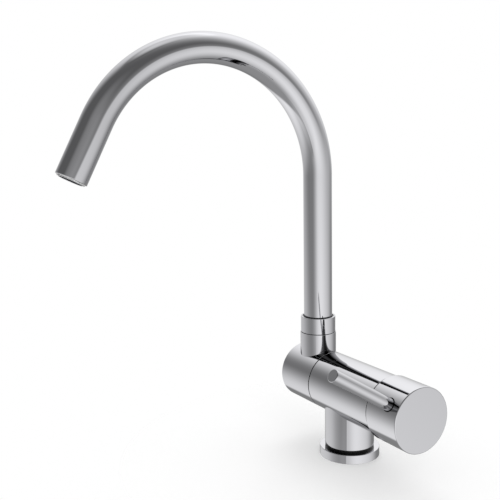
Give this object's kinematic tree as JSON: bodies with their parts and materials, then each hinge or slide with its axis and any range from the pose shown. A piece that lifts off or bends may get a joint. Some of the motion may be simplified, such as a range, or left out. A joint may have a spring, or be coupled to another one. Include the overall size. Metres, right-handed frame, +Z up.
{
  "type": "three way filtered water tap",
  "caption": "Deck mounted kitchen tap with a swivelling gooseneck spout on a fold-down barrel segment and a side lever knob for mixed and filtered water.",
  "frame": {"origin": "centre of the base ring's underside, on the worktop", "axes": "+Z up along the column, +X along the barrel towards the lever knob, -Y to the front, where the spout points"},
  "size_m": [0.1514, 0.2467, 0.3404],
  "materials": {
    "chrome": "polished chrome plating on brass",
    "brass": "machined brass",
    "steel": "stainless steel",
    "black_plastic": "black moulded plastic",
    "white_plastic": "white acetal",
    "grey_plastic": "grey moulded plastic",
    "ceramic": "lapped alumina",
    "rubber": "soft black rubber",
    "hose": "flexible food grade polyethylene"
  },
  "bodies": {
    "body": {"tap_body": "chrome", "base_flange": "chrome", "gap_ring": "black_plastic", "deck_seal": "rubber", "inlet_check_valves": "white_plastic", "cartridge_base": "grey_plastic", "port_seals": "rubber", "fixed_disk": "ceramic", "cartridge_housing": "grey_plastic", "cartridge_nut": "brass", "knob_guide_ring": "white_plastic", "knob_seam_ring": "black_plastic", "pivot_spindle": "brass", "pivot_orings": "rubber", "fold_washer": "black_plastic", "fold_stop_pin": "steel", "pivot_washer": "steel", "pivot_nut": "brass"},
    "handle": {"moving_disk": "ceramic", "disk_carrier": "grey_plastic", "thrust_washer": "white_plastic", "cartridge_stem": "brass", "stem_seal": "rubber", "knob_shell": "chrome", "lever_pin": "chrome", "lever_ring": "black_plastic", "grub_screw": "steel"},
    "holder": {"spout_holder": "chrome", "holder_end_cap": "chrome", "filter_post": "brass", "collar_nut": "chrome", "swivel_stop_ring": "white_plastic", "swivel_glide_ring": "white_plastic", "collar_bush": "black_plastic", "pivot_bushes": "white_plastic"},
    "spout": {"swivel_sleeve": "brass", "swivel_orings": "rubber", "hose_tail": "brass", "filter_hose": "hose", "spout_tube": "chrome", "nozzle_seat_ring": "white_plastic", "aerator_seal": "rubber", "aerator_shell": "chrome", "aerator_insert": "grey_plastic", "aerator_screen": "steel"}
  },
  "joints": [
    {"name": "handle_turn", "type": "hinge", "parent": "body", "child": "handle", "pos_m": [0.07, 0, 0.0552], "axis": [1, 0, 0], "range_deg": [-90, 40]},
    {"name": "spout_fold", "type": "hinge", "parent": "body", "child": "holder", "pos_m": [-0.04435, 0, 0.0552], "axis": [1, 0, 0], "range_deg": [0, 90]},
    {"name": "spout_swivel", "type": "hinge", "parent": "holder", "child": "spout", "pos_m": [-0.04435, 0, 0.09], "axis": [0, 0, 1], "range_deg": [-160, 160]}
  ]
}
